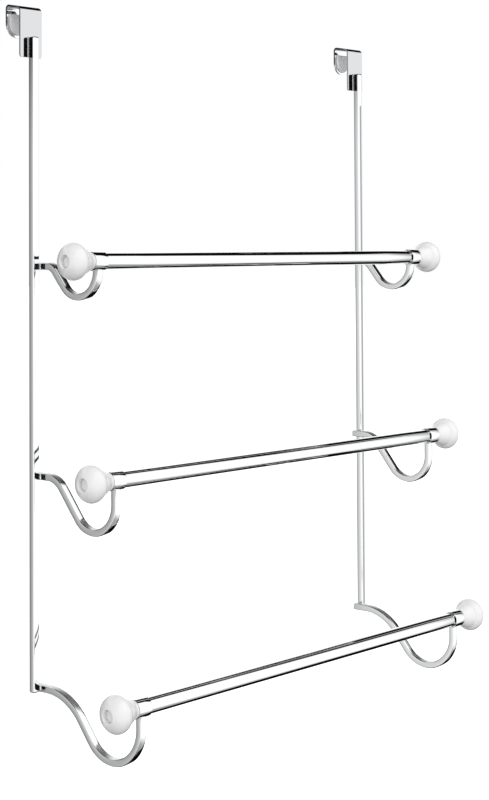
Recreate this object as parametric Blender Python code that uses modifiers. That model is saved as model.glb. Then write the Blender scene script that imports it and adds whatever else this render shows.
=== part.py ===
"""Over-the-door towel rack with three bars, in metres.

+Z is up, the front is -Y and the bars run along X. The origin is on top of the door: midway
between the two hooks, at mid-thickness of the door. The hooks' top plates rise towards the
back, so they bear on the front edge of the door's top.
"Depth" below means the distance in front of the back faces of the two uprights.
"""

import math

import bmesh
import bpy
from mathutils import Matrix, Vector

# ---- driving dimensions ------------------------------------------------------------------
GAP = 0.0003  # clearance kept between pieces that touch
TINY = 1e-5  # keeps two arcs or points from meeting exactly

DOOR_THICKNESS = 0.016  # the thickest door that the hooks take
PAD_THICKNESS = 0.00125
STRIP_THICKNESS = 0.002
HOOK_WIDTH = 0.029
FRONT_BEND_RADIUS = 0.0055
BACK_BEND_RADIUS = 0.004
LEG_LENGTH = 0.050
TONGUE_LENGTH = 0.0288  # from the door's top down to the tongue's end
PLATE_TILT = math.radians(10)  # how steeply the top plate rises towards the back
LEG_CORNER_RADIUS = 0.0025
PAD_MARGIN = 0.003  # bare metal left round each pad

UPRIGHT_SPACING = 0.540
UPRIGHT_WIDTH = 0.008
UPRIGHT_DEPTH = 0.0075
UPRIGHT_TOP = -0.0286
UPRIGHT_BOTTOM = -0.688
UPRIGHT_CORNER_RADIUS = 0.0025

ARM_WIDTH = 0.008
ARM_THICKNESS = 0.0075
ARM_ROOT_STRAIGHT = 0.017  # level stretch before the crest of each arm

TUBE_RADIUS = 0.008
TUBE_WALL = 0.001
TUBE_HALF_LENGTH = 0.272
COLLAR_RADIUS = 0.0094
COLLAR_INNER_END = 0.2555
COLLAR_OUTER_END = 0.2725
COLLAR_NOSE_RADIUS = 0.001
EDGE_CHAMFER = 0.0003

INSERT_LENGTH = 0.0142
STUD_RADIUS = 0.003
STUD_TIP = 0.0105  # how far the stud reaches in past the end of the collar
STUD_HEAD_RADIUS = 0.005
STUD_HEAD_THICKNESS = 0.003
STUD_SOCKET_RADIUS = 0.0015
STUD_CHAMFER = 0.0006

KNOB_RADIUS = 0.0185
KNOB_WIDEST = 0.023  # from the collar's end to the widest circle
KNOB_DOME = 0.0125  # from the widest circle to the nose of the full dome
KNOB_BASE_RADIUS = 0.0092
KNOB_BASE_LENGTH = 0.003
KNOB_BASE_CHAMFER = 0.0006
KNOB_GROOVE = 0.0152  # where the neck meets the bulb
KNOB_GROOVE_RADIUS = 0.0144
KNOB_GROOVE_STEP = 0.0008  # how far the bulb stands out from the neck at the groove
FLARE_ROUNDNESS = 0.75  # 0 makes the neck a straight cone, 1 a quarter sine
RECESS_RADIUS = 0.0065
RECESS_FLOOR = 0.0235
CAP_FACE_DEPTH = 0.005
CAP_THICKNESS = 0.0024
CAP_CHAMFER = 0.0005

# One entry for each bar: name, height of its axis, depth of its axis, crest radius of its arms,
# radius of the arms' bowl, drop from the axis to the bowl's centre, drop to the arms' level root.
BARS = (
    ("top", -0.2564, 0.0875, 0.014, 0.0264, 0.0091, 0.0052),
    ("middle", -0.4688, 0.1118, 0.026, 0.0290, 0.0241, 0.0042),
    ("bottom", -0.6812, 0.1448, 0.060, 0.0370, 0.0212, 0.0030),
)
SIDES = (("left", -1), ("right", 1))

ARC_STEP = math.radians(7)
SMALL_ARC_STEP = math.radians(30)
SMALL_ARC_RADIUS = 0.003
TURNED_STEPS = 24
SMALL_TURNED_STEPS = 12
FLARE_STEPS = 3
BULB_STEPS = 3
DOME_STEPS = 7
SHARP_ANGLE = math.radians(35)

# ---- derived places ----------------------------------------------------------------------
PAD_PLANE = DOOR_THICKNESS / 2
STRIP_INNER = PAD_PLANE + PAD_THICKNESS
STRIP_OUTER = STRIP_INNER + STRIP_THICKNESS
UPRIGHT_BACK = -STRIP_OUTER - GAP
ARM_X = UPRIGHT_SPACING / 2 - UPRIGHT_WIDTH / 2 - GAP - ARM_WIDTH / 2
BORE_RADIUS = STUD_RADIUS + GAP
KNOB_START = COLLAR_OUTER_END + GAP


# ---- scene and materials -----------------------------------------------------------------
def clear_scene():
    for obj in list(bpy.data.objects):
        bpy.data.objects.remove(obj)


def new_collection(name):
    collection = bpy.data.collections.new(name)
    bpy.context.scene.collection.children.link(collection)
    return collection


def principled(name, colour, roughness, metallic):
    material = bpy.data.materials.new(name)
    material.use_nodes = True
    shader = material.node_tree.nodes["Principled BSDF"]
    shader.inputs["Base Color"].default_value = (*colour, 1)
    shader.inputs["Roughness"].default_value = roughness
    shader.inputs["Metallic"].default_value = metallic
    return material


# ---- outlines, as points in a plane ------------------------------------------------------
def arc(centre, radius, start, end):
    """Points on an arc from angle start to angle end, both ends included."""
    step = SMALL_ARC_STEP if radius < SMALL_ARC_RADIUS else ARC_STEP
    steps = max(2, math.ceil(abs(end - start) / step))
    angles = [start + (end - start) * i / steps for i in range(steps + 1)]
    return [(centre[0] + radius * math.cos(a), centre[1] + radius * math.sin(a)) for a in angles]


def rounded_end_outline(half_width, top, bottom, radius):
    """A strip from top down to bottom, with its two bottom corners rounded."""
    left = arc((radius - half_width, bottom + radius), radius, math.pi, 1.5 * math.pi)
    right = arc((half_width - radius, bottom + radius), radius, 1.5 * math.pi, 2 * math.pi)
    return [(half_width, top), (-half_width, top), *left, *right]


def offset_both_sides(path, distance):
    """The closed outline of a bar that follows the path, distance to each side of it."""
    points = [Vector(p) for p in path]
    one_side = []
    other_side = []
    for i, point in enumerate(points):
        before = points[max(i - 1, 0)]
        after = points[min(i + 1, len(points) - 1)]
        along = (after - before).normalized()
        across = Vector((-along.y, along.x)) * distance
        one_side.append(tuple(point + across))
        other_side.append(tuple(point - across))
    return one_side + other_side[::-1]


def arm_path(bar_height, bar_depth, crest_radius, bowl_radius, bowl_drop, root_drop):
    """(depth, height) along the middle of an arm: level root, crest, slope, bowl, short upstand."""
    root_height = bar_height - root_drop
    crest = Vector((ARM_ROOT_STRAIGHT, root_height - crest_radius))
    bowl = Vector((bar_depth - bowl_radius, bar_height - bowl_drop))
    between = bowl - crest
    slope = math.asin((crest_radius + bowl_radius) / between.length)
    slope -= math.atan2(between.y, between.x)
    level = [(0, root_height)]
    over_crest = arc(crest, crest_radius, math.pi / 2, math.pi / 2 - slope)
    round_bowl = arc(bowl, bowl_radius, 1.5 * math.pi - slope, 2 * math.pi)
    upstand = [(bar_depth, bar_height - COLLAR_RADIUS / 2)]
    return level + over_crest + round_bowl + upstand


def hook_path():
    """(y, z) along the middle of the hook's strip: tongue, back bend, front bend, leg."""
    middle = STRIP_THICKNESS / 2
    y = STRIP_INNER + middle
    back = BACK_BEND_RADIUS - middle
    front = FRONT_BEND_RADIUS - middle
    crest = math.pi / 2 + PLATE_TILT
    back_bend = arc((y - back, plate_height(y - back, middle - back)), back, 0, crest)
    front_bend = arc((front - y, plate_height(front - y, middle - front)), front, crest, math.pi)
    return [(y, -TONGUE_LENGTH), *back_bend, *front_bend, (-y, -LEG_LENGTH)]


def plate_height(y, above):
    """Height at y of the line that runs this far above the top plate's underside."""
    return (y + PAD_PLANE) * math.tan(PLATE_TILT) + above / math.cos(PLATE_TILT)


def knob_profile():
    """(distance from the collar's end, radius), from the base over the bulb to the recess."""
    base = [
        (GAP, BORE_RADIUS),
        (GAP, KNOB_BASE_RADIUS - KNOB_BASE_CHAMFER),
        (GAP + KNOB_BASE_CHAMFER, KNOB_BASE_RADIUS),
        (KNOB_BASE_LENGTH - KNOB_BASE_CHAMFER, KNOB_BASE_RADIUS),
        (KNOB_BASE_LENGTH, KNOB_BASE_RADIUS - EDGE_CHAMFER),
    ]
    flare = []
    full_turn = FLARE_ROUNDNESS * math.pi / 2
    for i in range(1, FLARE_STEPS + 1):
        t = i / FLARE_STEPS
        swell = math.sin(full_turn * t) / math.sin(full_turn)
        along = KNOB_BASE_LENGTH + (KNOB_GROOVE - KNOB_BASE_LENGTH) * t
        flare.append((along, KNOB_BASE_RADIUS + (KNOB_GROOVE_RADIUS - KNOB_BASE_RADIUS) * swell))
    bulb_start = math.acos((KNOB_GROOVE_RADIUS + KNOB_GROOVE_STEP) / KNOB_RADIUS)
    back_length = (KNOB_WIDEST - KNOB_GROOVE - KNOB_GROOVE_STEP / 2) / math.sin(bulb_start)
    bulb = []
    for i in range(BULB_STEPS):
        angle = bulb_start * (1 - i / BULB_STEPS)
        along = KNOB_WIDEST - back_length * math.sin(angle)
        bulb.append((along, KNOB_RADIUS * math.cos(angle)))
    rim_angle = math.acos(RECESS_RADIUS / KNOB_RADIUS)
    dome = []
    for i in range(DOME_STEPS + 1):
        angle = rim_angle * i / DOME_STEPS
        dome.append((KNOB_WIDEST + KNOB_DOME * math.sin(angle), KNOB_RADIUS * math.cos(angle)))
    recess = [(RECESS_FLOOR, RECESS_RADIUS), (RECESS_FLOOR, BORE_RADIUS)]
    return base + flare + bulb + dome + recess


# ---- solids ------------------------------------------------------------------------------
def extruded(name, outline, thickness, placement, collection):
    """A mesh object: the outline filled and extruded by half the thickness to each side."""
    curve = bpy.data.curves.new(name, "CURVE")
    curve.dimensions = "2D"
    curve.fill_mode = "BOTH"
    curve.extrude = thickness / 2
    spline = curve.splines.new("POLY")
    spline.points.add(len(outline) - 1)
    for point, (x, y) in zip(spline.points, outline):
        point.co = (x, y, 0, 1)
    spline.use_cyclic_u = True
    guide = bpy.data.objects.new(name + "_guide", curve)
    guide.matrix_world = placement
    collection.objects.link(guide)
    bpy.context.view_layer.update()
    evaluated = guide.evaluated_get(bpy.context.evaluated_depsgraph_get())
    mesh = bpy.data.meshes.new_from_object(evaluated)
    bpy.data.objects.remove(guide)
    weld_mesh(mesh)
    mesh.name = name
    obj = bpy.data.objects.new(name, mesh)
    obj.matrix_world = placement
    collection.objects.link(obj)
    return obj


def weld_mesh(mesh):
    work = bmesh.new()
    work.from_mesh(mesh)
    bmesh.ops.remove_doubles(work, verts=work.verts, dist=TINY / 10)
    bmesh.ops.recalc_face_normals(work, faces=work.faces)
    work.to_mesh(mesh)
    work.free()


def turned(name, profile, steps, start_x, side, collection, material):
    """A ring-shaped solid turned about the X axis.

    The profile holds (distance outward from start_x, radius), closed back to its first point.
    It is drawn as (radius, height), where height grows outward along the bar.
    """
    mesh = bpy.data.meshes.new(name)
    work = bmesh.new()
    verts = [work.verts.new((radius, 0, along)) for along, radius in profile]
    for i, vert in enumerate(verts):
        work.edges.new((vert, verts[(i + 1) % len(verts)]))
    work.to_mesh(mesh)
    work.free()
    obj = bpy.data.objects.new(name, mesh)
    collection.objects.link(obj)
    screw = obj.modifiers.new("turn", "SCREW")
    screw.axis = "Z"
    screw.steps = steps
    screw.render_steps = steps
    screw.use_merge_vertices = True
    screw.merge_threshold = TINY
    screw.use_normal_calculate = True
    placement = Matrix.Rotation(side * math.pi / 2, 4, "Y")
    placement.translation = Vector((side * start_x, 0, 0))
    obj.matrix_world = placement
    applied(obj)
    weld_mesh(obj.data)
    finish(obj, material)
    return obj


def applied(obj):
    """Replaces the object's mesh with its evaluated one and drops its modifiers."""
    bpy.context.view_layer.update()
    evaluated = obj.evaluated_get(bpy.context.evaluated_depsgraph_get())
    mesh = bpy.data.meshes.new_from_object(evaluated)
    obj.modifiers.clear()
    obj.data = mesh
    mesh.name = obj.name


def cut(obj, cutter):
    difference = obj.modifiers.new("cut_" + cutter.name, "BOOLEAN")
    difference.operation = "DIFFERENCE"
    difference.solver = "EXACT"
    difference.object = cutter


def as_cutter(obj):
    obj.hide_render = True
    obj.display_type = "WIRE"
    return obj


def finish(obj, material):
    obj.data.materials.clear()
    obj.data.materials.append(material)
    obj.data.shade_smooth()
    obj.data.set_sharp_from_angle(angle=SHARP_ANGLE)


def facing_front(x, y):
    """Places an outline drawn as (x, z) in an upright plane at y."""
    placement = Matrix.Rotation(math.pi / 2, 4, "X")
    placement.translation = Vector((x, y, 0))
    return placement


def side_on(x):
    """Places an outline drawn as (y, z) in a plane at x."""
    rows = ((0, 0, 1, x), (1, 0, 0, 0), (0, 1, 0, 0), (0, 0, 0, 1))
    return Matrix(rows)


# ---- the pieces --------------------------------------------------------------------------
def make_hook(side_name, side, parts, cutters, chrome):
    x = side * UPRIGHT_SPACING / 2
    outline = offset_both_sides(hook_path(), STRIP_THICKNESS / 2)
    hook = extruded(f"hook_{side_name}", outline, HOOK_WIDTH, side_on(x), parts)
    ends = (
        ("tongue", STRIP_INNER, TONGUE_LENGTH, HOOK_WIDTH / 2 - TINY),
        ("leg", -STRIP_OUTER, LEG_LENGTH, LEG_CORNER_RADIUS),
    )
    for end_name, low_y, length, radius in ends:
        cutter = corner_cutter(f"{end_name}_corners_{side_name}", x, low_y, length, radius, cutters)
        cut(hook, cutter)
    finish(hook, chrome)


def corner_cutter(name, x, low_y, length, radius, cutters):
    """What lies outside a rounded strip end, down to just below it."""
    half = HOOK_WIDTH / 2
    margin = STRIP_THICKNESS
    inside = rounded_end_outline(half, radius - length, -length, radius)[1:]
    outline = [
        *inside,
        (half, radius - length),
        (half + margin, radius - length),
        (half + margin, -length - margin),
        (-half - margin, -length - margin),
        (-half - margin, radius - length),
    ]
    middle = low_y + STRIP_THICKNESS / 2
    cutter = extruded(name, outline, STRIP_THICKNESS * 2, facing_front(x, middle), cutters)
    return as_cutter(cutter)


def make_hook_pads(side_name, side, parts, foam):
    """The two thin pads that keep the hook's metal off the door."""
    x = side * UPRIGHT_SPACING / 2
    half = HOOK_WIDTH / 2 - PAD_MARGIN
    top = -BACK_BEND_RADIUS - GAP
    middle = PAD_PLANE + (PAD_THICKNESS - GAP) / 2
    sizes = (
        ("tongue", middle, TONGUE_LENGTH - PAD_MARGIN, half - TINY),
        ("leg", -middle, LEG_LENGTH - PAD_MARGIN, LEG_CORNER_RADIUS),
    )
    for pad_name, y, length, radius in sizes:
        outline = rounded_end_outline(half, top, -length, radius)
        name = f"{pad_name}_pad_{side_name}"
        pad = extruded(name, outline, PAD_THICKNESS - GAP, facing_front(x, y), parts)
        finish(pad, foam)


def make_upright(side_name, side, parts, chrome):
    radius = UPRIGHT_CORNER_RADIUS
    back = UPRIGHT_BACK
    front = UPRIGHT_BACK - UPRIGHT_DEPTH
    corners = (
        (front + radius, UPRIGHT_BOTTOM + radius, math.pi, 1.5 * math.pi),
        (back - radius, UPRIGHT_BOTTOM + radius, 1.5 * math.pi, 2 * math.pi),
        (back - radius, UPRIGHT_TOP - radius, 0, 0.5 * math.pi),
        (front + radius, UPRIGHT_TOP - radius, 0.5 * math.pi, math.pi),
    )
    outline = []
    for y, z, start, end in corners:
        outline += arc((y, z), radius, start, end)
    x = side * UPRIGHT_SPACING / 2
    upright = extruded(f"upright_{side_name}", outline, UPRIGHT_WIDTH, side_on(x), parts)
    finish(upright, chrome)


def make_arm(bar_name, side_name, side, shape, parts, cutters, chrome):
    """A bent square rod, coped at its tip to fit under the collar."""
    outline = offset_both_sides(arm_path(*shape), ARM_THICKNESS / 2)
    outline = [(UPRIGHT_BACK - depth, height) for depth, height in outline]
    name = f"arm_{bar_name}_{side_name}"
    arm = extruded(name, outline, ARM_WIDTH, side_on(side * ARM_X), parts)
    height, depth = shape[:2]
    bpy.ops.mesh.primitive_cylinder_add(
        vertices=TURNED_STEPS,
        radius=COLLAR_RADIUS + GAP,
        depth=ARM_WIDTH * 2,
        location=(side * ARM_X, UPRIGHT_BACK - depth, height),
        rotation=(0, math.pi / 2, 0),
    )
    cope = bpy.context.object
    cope.name = f"cope_{bar_name}_{side_name}"
    for owner in list(cope.users_collection):
        owner.objects.unlink(cope)
    cutters.objects.link(cope)
    cut(arm, as_cutter(cope))
    finish(arm, chrome)


def make_collar(bar_name, side_name, side, parts, chrome):
    """The sleeve that an arm holds, with a rounded nose towards the knob."""
    length = COLLAR_OUTER_END - COLLAR_INNER_END
    inner = TUBE_RADIUS + GAP
    nose = COLLAR_NOSE_RADIUS
    nose_points = arc((length - nose, COLLAR_RADIUS - nose), nose, math.pi / 2, 0)
    profile = [
        (0, inner),
        (0, COLLAR_RADIUS - EDGE_CHAMFER),
        (EDGE_CHAMFER, COLLAR_RADIUS),
        *nose_points,
        (length, inner),
    ]
    name = f"collar_{bar_name}_{side_name}"
    return turned(name, profile, TURNED_STEPS, COLLAR_INNER_END, side, parts, chrome)


def make_tube(bar_name, parts, chrome):
    inner = TUBE_RADIUS - TUBE_WALL
    length = 2 * TUBE_HALF_LENGTH
    profile = [(0, inner), (0, TUBE_RADIUS), (length, TUBE_RADIUS), (length, inner)]
    name = f"towel_bar_{bar_name}"
    return turned(name, profile, TURNED_STEPS, -TUBE_HALF_LENGTH, 1, parts, chrome)


def make_insert(bar_name, side_name, side, parts, steel):
    """The threaded plug pressed into a tube's end, which the knob's stud screws into."""
    radius = TUBE_RADIUS - TUBE_WALL - GAP
    profile = [(0, BORE_RADIUS), (0, radius), (INSERT_LENGTH, radius), (INSERT_LENGTH, BORE_RADIUS)]
    name = f"bar_insert_{bar_name}_{side_name}"
    start = TUBE_HALF_LENGTH - INSERT_LENGTH
    return turned(name, profile, SMALL_TURNED_STEPS, start, side, parts, steel)


def make_knob(bar_name, side_name, side, parts, glaze):
    name = f"knob_{bar_name}_{side_name}"
    return turned(name, knob_profile(), TURNED_STEPS, COLLAR_OUTER_END, side, parts, glaze)


def make_stud(bar_name, side_name, side, parts, steel):
    """The screw through the knob: threaded shank, round head on the recess floor."""
    head = RECESS_FLOOR + GAP
    top = head + STUD_HEAD_THICKNESS
    profile = [
        (-STUD_TIP, 0),
        (-STUD_TIP, STUD_RADIUS - STUD_CHAMFER),
        (STUD_CHAMFER - STUD_TIP, STUD_RADIUS),
        (head, STUD_RADIUS),
        (head, STUD_HEAD_RADIUS),
        (top, STUD_HEAD_RADIUS),
        (top, STUD_SOCKET_RADIUS),
        (head + STUD_HEAD_THICKNESS / 2, 0),
    ]
    name = f"knob_stud_{bar_name}_{side_name}"
    return turned(name, profile, SMALL_TURNED_STEPS, COLLAR_OUTER_END, side, parts, steel)


def make_cap(bar_name, side_name, side, parts, glaze):
    """The press-in disc that hides the stud's head at the bottom of the recess."""
    rim = KNOB_WIDEST + KNOB_DOME * math.sin(math.acos(RECESS_RADIUS / KNOB_RADIUS))
    face = rim - CAP_FACE_DEPTH
    radius = RECESS_RADIUS - GAP
    profile = [
        (face - CAP_THICKNESS, 0),
        (face - CAP_THICKNESS, radius),
        (face - CAP_CHAMFER, radius),
        (face, radius - CAP_CHAMFER),
        (face, 0),
    ]
    name = f"knob_cap_{bar_name}_{side_name}"
    return turned(name, profile, SMALL_TURNED_STEPS, COLLAR_OUTER_END, side, parts, glaze)


def move_to_bar(obj, height, depth):
    """Puts a turned piece on its bar's axis, which becomes its origin's height and depth."""
    obj.location.y = UPRIGHT_BACK - depth
    obj.location.z = height


def main():
    clear_scene()
    parts = new_collection("towel_rack")
    cutters = new_collection("cutters")
    chrome = principled("chrome", (0.86, 0.87, 0.89), 0.06, 1.0)
    steel = principled("zinc_plated_steel", (0.62, 0.61, 0.58), 0.35, 1.0)
    glaze = principled("white_glaze", (0.9, 0.9, 0.91), 0.12, 0.0)
    foam = principled("pad_foam", (0.78, 0.79, 0.8), 0.85, 0.0)

    for side_name, side in SIDES:
        make_hook(side_name, side, parts, cutters, chrome)
        make_hook_pads(side_name, side, parts, foam)
        make_upright(side_name, side, parts, chrome)
    for bar_name, *shape in BARS:
        turned_pieces = [make_tube(bar_name, parts, chrome)]
        for side_name, side in SIDES:
            make_arm(bar_name, side_name, side, shape, parts, cutters, chrome)
            place = (bar_name, side_name, side, parts)
            turned_pieces += [
                make_collar(*place, chrome),
                make_insert(*place, steel),
                make_knob(*place, glaze),
                make_stud(*place, steel),
                make_cap(*place, glaze),
            ]
        for piece in turned_pieces:
            move_to_bar(piece, *shape[:2])


main()
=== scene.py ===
"""Looks of an over-door towel rack: chrome rods and tubes with white knobs, in metres.

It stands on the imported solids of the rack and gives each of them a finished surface.
"""
import math

import bpy
from bpy.props import FloatProperty, FloatVectorProperty, IntProperty, PointerProperty
from mathutils import Matrix, Vector


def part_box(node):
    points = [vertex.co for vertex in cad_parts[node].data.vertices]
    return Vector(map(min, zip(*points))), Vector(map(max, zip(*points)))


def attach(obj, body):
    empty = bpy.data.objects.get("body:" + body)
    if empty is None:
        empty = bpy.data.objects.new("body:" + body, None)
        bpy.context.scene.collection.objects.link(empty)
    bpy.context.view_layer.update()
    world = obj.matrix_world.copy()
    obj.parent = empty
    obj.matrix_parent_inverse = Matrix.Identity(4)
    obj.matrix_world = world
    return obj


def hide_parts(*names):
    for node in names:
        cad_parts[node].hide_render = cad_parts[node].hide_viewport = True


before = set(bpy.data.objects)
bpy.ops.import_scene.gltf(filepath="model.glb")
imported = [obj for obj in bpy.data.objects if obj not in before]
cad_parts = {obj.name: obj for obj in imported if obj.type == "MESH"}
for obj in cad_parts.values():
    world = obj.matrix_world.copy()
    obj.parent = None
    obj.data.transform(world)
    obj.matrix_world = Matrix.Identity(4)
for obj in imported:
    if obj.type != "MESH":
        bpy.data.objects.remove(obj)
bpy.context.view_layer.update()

bl_info = {
    "name": "Over-door towel rack",
    "version": (1, 0, 0),
    "blender": (4, 5, 0),
    "location": "3D View > Sidebar > Towel rack",
    "description": "Builds the finished surfaces of an over-door towel rack and its studio",
    "category": "Object",
}

RACK_BODY = "rack"
SIDES = (("left", -1), ("right", 1))

# Bend of the arms of each bar: crest radius, bowl radius, drop from the bar's axis to the
# bowl's centre, drop from the axis to the level root.
ARM_BENDS = {
    "top": (0.014, 0.0264, 0.0091, 0.0052),
    "middle": (0.026, 0.0290, 0.0241, 0.0042),
    "bottom": (0.060, 0.0370, 0.0212, 0.0030),
}
ARM_ROOT_STRAIGHT = 0.017
ARM_TIP_BITE = 0.0009  # how far an arm's tip is let into its collar
HOOK_FRONT_BEND = 0.0055
HOOK_BACK_BEND = 0.004
PLATE_TILT = math.radians(10)  # how steeply a hook's top plate rises towards the back
DOOR_HALF = 0.008  # half the thickness of the door, whose front edge bears the plates
LEG_CORNER = 0.0025
KNOB_BASE_EDGE = 0.0009
CAP_EDGE = 0.0004

# How finely round stretches are cut: arcs in radians, the rest in counts.
FINE_ARC = math.radians(3)
PLAN_ARC = math.radians(9)
NOSE_ARC = 0.15
SMALL_EDGE_ARC = 0.3
TUBE_EDGE_ARC = 0.5
FINE_EDGE_STEPS = 5
BAR_LENGTH_STEPS = 8
NECK_STEPS = 24
BULB_STEPS = 20
DOME_STEPS = 32
TURNED_SHARP = math.radians(40)  # a turned piece keeps its corners that are sharper than this
ALMOST_NOTHING = 1e-6
TOO_CLOSE = 1e-5  # two cuts across a bar are never nearer than this

# The hooks' finish, with painted shade on the outside of the leg and on the sheared edges.
LEG_OUTSIDE = -0.0105  # the hooks' metal in front of this is the outside of the leg
# Painted shade: a hook's sheared edges are darkened in colour this far in from its sides.
EDGE_SHADE_REACH = 0.0001  # how far a hook's dark sheared edge reaches in from its side
SHADE_BLUR = 0.0004


# ---- measures read from the solids ---------------------------------------------------------
def span(node, axis):
    """Lowest and highest place of a node along one axis."""
    low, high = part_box(node)
    return low[axis], high[axis]


def middle(node, axis):
    return sum(span(node, axis)) / 2


def size(node, axis):
    low, high = span(node, axis)
    return high - low


# ---- finishes ------------------------------------------------------------------------------
class Value:
    """One output of a shader node. Arithmetic on it adds Math nodes."""

    def __init__(self, tree, socket):
        self.tree = tree
        self.socket = socket

    def math(self, operation, *others):
        inputs = dict(enumerate((self, *others)))
        return self.tree.node("ShaderNodeMath", {"operation": operation}, inputs)

    def __add__(self, other):
        return self.math("ADD", other)

    def __radd__(self, other):
        return self.math("ADD", other)

    def __sub__(self, other):
        return self.math("SUBTRACT", other)

    def __rsub__(self, other):
        inputs = {0: other, 1: self}
        return self.tree.node("ShaderNodeMath", {"operation": "SUBTRACT"}, inputs)

    def __mul__(self, other):
        return self.math("MULTIPLY", other)

    def __rmul__(self, other):
        return self.math("MULTIPLY", other)

    def __neg__(self):
        return self.math("MULTIPLY", -1.0)

    def __abs__(self):
        return self.math("ABSOLUTE")


class Tree:
    """The nodes of one material or world."""

    def __init__(self, owner):
        owner.use_nodes = True
        self.nodes = owner.node_tree.nodes
        self.links = owner.node_tree.links
        self.nodes.clear()

    def node(self, kind, settings=None, inputs=None, output=0):
        """Adds a node: its settings first, then the values or links of its sockets."""
        made = self.nodes.new(kind)
        for name, value in (settings or {}).items():
            setattr(made, name, value)
        for key, value in (inputs or {}).items():
            socket = made.inputs[key]
            if isinstance(value, Value):
                self.links.new(value.socket, socket)
            else:
                socket.default_value = value
        return Value(self, made.outputs[output]) if len(made.outputs) else None

    def step(self, value, start, end, low=0.0, high=1.0):
        """A smooth step from low, where the value is start, to high, where it is end."""
        settings = {"interpolation_type": "SMOOTHSTEP", "clamp": True}
        inputs = {0: value, 1: start, 2: end, 3: low, 4: high}
        return self.node("ShaderNodeMapRange", settings, inputs)

    def mix(self, factor, a, b):
        """Mixes two colours."""
        settings = {"data_type": "RGBA", "clamp_factor": True}
        inputs = {0: factor, 6: a, 7: b}
        return self.node("ShaderNodeMix", settings, inputs, output=2)

    def object_point(self, stretch=(1, 1, 1)):
        """The point in the piece's own space, scaled along each axis."""
        point = self.node("ShaderNodeTexCoord", output="Object")
        settings = {"operation": "MULTIPLY"}
        return self.node("ShaderNodeVectorMath", settings, {0: point, 1: stretch})

    def part(self, vector, axis):
        """The X, Y or Z of a vector."""
        return self.node("ShaderNodeSeparateXYZ", None, {0: vector}, output=axis)

    def dot(self, vector, other):
        settings = {"operation": "DOT_PRODUCT"}
        return self.node("ShaderNodeVectorMath", settings, {0: vector, 1: other}, output="Value")

    def light_path(self, output):
        return self.node("ShaderNodeLightPath", output=output)

    def noise(self, point, scale, detail):
        inputs = {"Vector": point, "Scale": scale, "Detail": detail}
        return self.node("ShaderNodeTexNoise", None, inputs)

    def mix_shaders(self, factor, a, b):
        return self.node("ShaderNodeMixShader", None, {0: factor, 1: a, 2: b})

    def bump(self, height, distance, strength):
        inputs = {"Height": height, "Distance": distance, "Strength": strength}
        return self.node("ShaderNodeBump", None, inputs)

    def principled(self, inputs):
        """Makes this the material's surface."""
        shader = self.node("ShaderNodeBsdfPrincipled", None, inputs)
        self.surface(shader)

    def surface(self, shader):
        self.node("ShaderNodeOutputMaterial", None, {"Surface": shader})


def new_material(name):
    material = bpy.data.materials.new(name)
    return material, Tree(material)


def opaque(colour, share=1.0):
    """A colour with full alpha, darkened to a share of itself."""
    return (*(share * c for c in colour), 1)


def chrome(material, tree, colour, lowest_roughness, extra_roughness=0.0):
    """Chrome over buffed steel: a faint waviness and hair-fine buffing marks.

    The colour is the chrome's own, or a mix that the material has made of it.
    """
    buffing_stretch = (40, 500, 500)
    buffing_depth = 0.02
    cloud = tree.noise(tree.object_point(), scale=60, detail=2)
    marks = tree.noise(tree.object_point(buffing_stretch), scale=1, detail=3)
    roughness = buffing_depth * cloud * marks + lowest_roughness + extra_roughness
    if not isinstance(colour, Value):
        colour = tree.mix(cloud, opaque(colour), opaque(colour, share=0.985))
    swell = tree.noise(tree.object_point(), scale=90, detail=1)
    waves = tree.bump(swell, distance=0.00002, strength=0.5)
    tree.principled(
        {"Base Color": colour, "Metallic": 1.0, "Roughness": roughness, "Normal": waves}
    )
    return material


def chrome_plate():
    look = bpy.context.scene.rack_finish
    return chrome(*new_material("chrome_plate"), look.chrome_colour, look.chrome_roughness)


def bent_rod_chrome():
    """The arms' chrome, blurred where the bending has stretched their upper faces."""
    look = bpy.context.scene.rack_finish
    material, tree = new_material("bent_rod_chrome")
    upward = tree.part(tree.node("ShaderNodeNewGeometry", output="Normal"), "Z")
    stretched = tree.step(upward, start=0.68, end=0.88, high=look.stretched_roughness)
    return chrome(material, tree, look.chrome_colour, look.bent_roughness, stretched)


def strip_chrome():
    """The hooks' chrome, with painted shade: darker on the outside of the leg, dark on the sheared
    edges.
    """
    look = bpy.context.scene.rack_finish
    material, tree = new_material("strip_chrome")
    across = tree.part(tree.object_point(), "X")
    back = tree.part(tree.object_point(), "Y")
    # Painted shade: the outside of the leg takes a darker chrome colour, standing in for a greyer
    # reflection.
    leg_shade = tree.step(back, start=LEG_OUTSIDE + SHADE_BLUR, end=LEG_OUTSIDE)
    colour = tree.mix(leg_shade, opaque(look.chrome_colour), opaque(look.leg_shade_colour))
    # Painted shade: the sheared edges darken to near black, less so on the outside of the leg.
    off_middle = abs(abs(across) - middle("hook_right", 0))
    dark_from = size("hook_right", 0) / 2 - EDGE_SHADE_REACH
    sheared = tree.step(off_middle, start=dark_from - SHADE_BLUR, end=dark_from)
    sheared = sheared * tree.step(back, start=LEG_OUTSIDE, end=0.0, low=0.35)
    colour = tree.mix(sheared, colour, opaque(look.sheared_edge_shade))
    return chrome(material, tree, colour, look.chrome_roughness)


def zinc_plate():
    """Dull zinc on the screws and inserts, slightly blotched."""
    look = bpy.context.scene.rack_finish
    material, tree = new_material("zinc_plate")
    blotch = tree.noise(tree.object_point(), scale=700, detail=4)
    colour = tree.mix(blotch, opaque(look.zinc_colour, share=0.8), opaque(look.zinc_colour))
    lowest_roughness = 0.28
    blotch_depth = 0.2
    roughness = lowest_roughness + blotch_depth * blotch
    tree.principled({"Base Color": colour, "Metallic": 1.0, "Roughness": roughness})
    return material


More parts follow.
